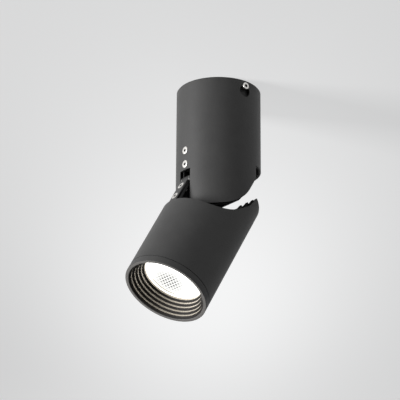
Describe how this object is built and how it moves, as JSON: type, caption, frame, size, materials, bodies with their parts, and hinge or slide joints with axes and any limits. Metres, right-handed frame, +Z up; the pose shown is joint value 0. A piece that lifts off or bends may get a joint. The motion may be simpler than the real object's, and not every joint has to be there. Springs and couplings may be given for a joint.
{
  "type": "surface mounted ceiling spotlight",
  "caption": "Cylindrical ceiling spotlight whose lower half folds out on a rear hinge along a curved split, with a finned heat sink, a stepped baffle and a flat lens.",
  "frame": {"origin": "middle of the ceiling tube, in the plane of the ceiling", "axes": "+Z up into the ceiling; +X from the hinge towards the jaw where the split opens; Y along the hinge pin"},
  "size_m": [0.1012, 0.0626, 0.1736],
  "materials": {
    "black_powder_coat": "fine textured matt black powder coat",
    "baffle_plastic": "matt black moulded steps",
    "black_fins": "black anodised die casting",
    "dark_plate": "matt black",
    "zinc_steel": "black oxide pressed steel",
    "plated_screw": "bright zinc plated",
    "black_rubber": "moulded",
    "white_plastic": "moulded",
    "driver_plastic": "moulded",
    "green_board": "solder mask",
    "led_board_white": "white solder mask",
    "led_phosphor": "yellow phosphor",
    "bright_reflector": "polished and vapour coated",
    "lit_lens": "honeycomb beads on the inner face"
  },
  "bodies": {
    "canopy": {"ceiling_plate": "zinc_steel", "mains_grommet": "black_rubber", "terminal_block": "white_plastic", "canopy_shell": "black_powder_coat", "set_screws": "plated_screw", "driver_bulkhead": "dark_plate", "bulkhead_screws": "plated_screw", "bulkhead_grommet": "black_rubber", "driver_case": "driver_plastic", "driver_board": "green_board", "driver_cover": "driver_plastic", "driver_screws": "plated_screw", "hinge_bracket": "zinc_steel", "hinge_screws": "plated_screw", "pivot_pin": "plated_screw", "friction_washers": "plated_screw"},
    "head": {"head_shell": "black_powder_coat", "hinge_arm": "zinc_steel", "arm_screws": "plated_screw", "heat_sink": "black_fins", "heat_sink_screws": "plated_screw", "lead_grommet": "black_rubber", "led_board": "led_board_white", "led_chip": "led_phosphor", "led_holder": "white_plastic", "holder_screws": "plated_screw", "reflector": "bright_reflector", "lens_gasket": "black_rubber", "lens": "lit_lens", "baffle": "baffle_plastic", "bezel_ring": "black_powder_coat"}
  },
  "joints": [
    {"name": "head_tilt", "type": "hinge", "parent": "canopy", "child": "head", "pos_m": [-0.0265, 0, -0.0731], "axis": [0, 1, 0], "range_deg": [-30, 60]}
  ]
}
